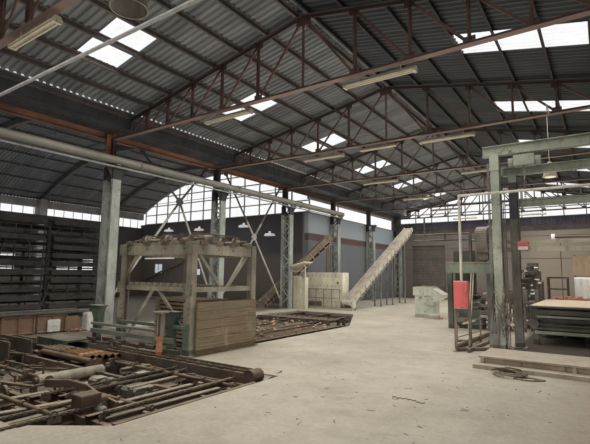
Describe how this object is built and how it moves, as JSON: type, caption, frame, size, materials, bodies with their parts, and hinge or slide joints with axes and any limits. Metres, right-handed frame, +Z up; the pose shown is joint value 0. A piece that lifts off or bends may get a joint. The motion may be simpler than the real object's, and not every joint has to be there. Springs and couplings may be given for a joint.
{
  "type": "factory building",
  "caption": "Two-nave factory hall: gabled nave on riveted steel trusses beside a barrel-vaulted nave, with latticed columns, skylights, valley gutter and fixed plant.",
  "frame": {"origin": "middle of the building's plan at ground level, on the line of the latticed columns", "axes": "+X across the naves towards the gabled one, +Y along the naves away from the near end wall, +Z up"},
  "size_m": [29.4, 34.6574, 8.406],
  "materials": {
    "beam_steel": "orange rust over old paint",
    "bench_steel": "pale green enamel, dusty",
    "board_wood": "raw boards, oil stained",
    "brick": "fired brick and render, dusty",
    "cabinet_metal": "cream enamel, scuffed",
    "column_steel": "chalky grey-green paint, dusty",
    "concrete": "worn dusty concrete",
    "conveyor_steel": "cream paint, clay dust",
    "duct_metal": "beige-grey paint, dusty",
    "frame_steel": "dark painted steel bars",
    "gantry_steel": "pale green paint, chipped",
    "gutter_metal": "weathered galvanised sheet",
    "lamp_metal": "cream enamel, yellowed",
    "left_conveyor_steel": "brown paint, clay dust",
    "machine_steel": "khaki-green paint, oily and worn",
    "pier_concrete": "cast concrete, dirty",
    "post_steel": "pale paint, dusty",
    "press_steel": "dark machine paint, dusty",
    "rack_steel": "dark rusted steel",
    "rail_steel": "bare steel, rust and oil",
    "roof_sheet": "aged dark fibre-cement sheet",
    "shutter_steel": "dull painted steel slats",
    "skylight_sheet": "milky translucent sheet",
    "truss_steel": "old red-brown primer with light rust",
    "window_glass": "plain dusty glass"
  },
  "bodies": {
    "root": {"floor_slab": "concrete", "column_1": "column_steel", "column_2": "column_steel", "column_3": "column_steel", "column_4": "column_steel", "column_5": "column_steel", "column_6": "column_steel", "column_7": "column_steel", "column_8": "column_steel", "truss_1": "truss_steel", "truss_2": "truss_steel", "truss_3": "truss_steel", "truss_4": "truss_steel", "truss_5": "truss_steel", "truss_6": "truss_steel", "truss_7": "truss_steel", "truss_8": "truss_steel", "purlins": "truss_steel", "roof_left": "roof_sheet", "roof_right": "roof_sheet", "skylights": "skylight_sheet", "ridge_cap": "roof_sheet", "valley_gutter": "gutter_metal", "valley_beam": "beam_steel", "right_gutter": "gutter_metal", "left_wall": "brick", "right_wall": "brick", "side_wall": "brick", "wall_piers": "pier_concrete", "ring_beams": "pier_concrete", "side_glass": "window_glass", "near_wall": "brick", "near_frame": "frame_steel", "far_wall": "brick", "far_frame": "frame_steel", "vault_wall": "brick", "vault_frame": "frame_steel", "gable_glass": "window_glass", "vault_roof_left": "roof_sheet", "vault_roof_right": "roof_sheet", "vault_ribs": "truss_steel", "vault_purlins": "truss_steel", "roller_shutters": "shutter_steel", "overhead_duct": "duct_metal", "column_braces": "column_steel", "roof_pipes": "roof_sheet", "ceiling_lights": "lamp_metal", "pit_rails": "rail_steel", "trench_conveyor": "rail_steel", "setting_machine": "machine_steel", "stacked_boards": "board_wood", "drying_racks": "rack_steel", "left_conveyor": "left_conveyor_steel", "right_conveyor": "conveyor_steel", "control_cabinet": "cabinet_metal", "gantry": "gantry_steel", "press_table": "press_steel", "brick_press": "press_steel", "service_post": "post_steel", "bench_machines": "bench_steel"}
  },
  "joints": []
}
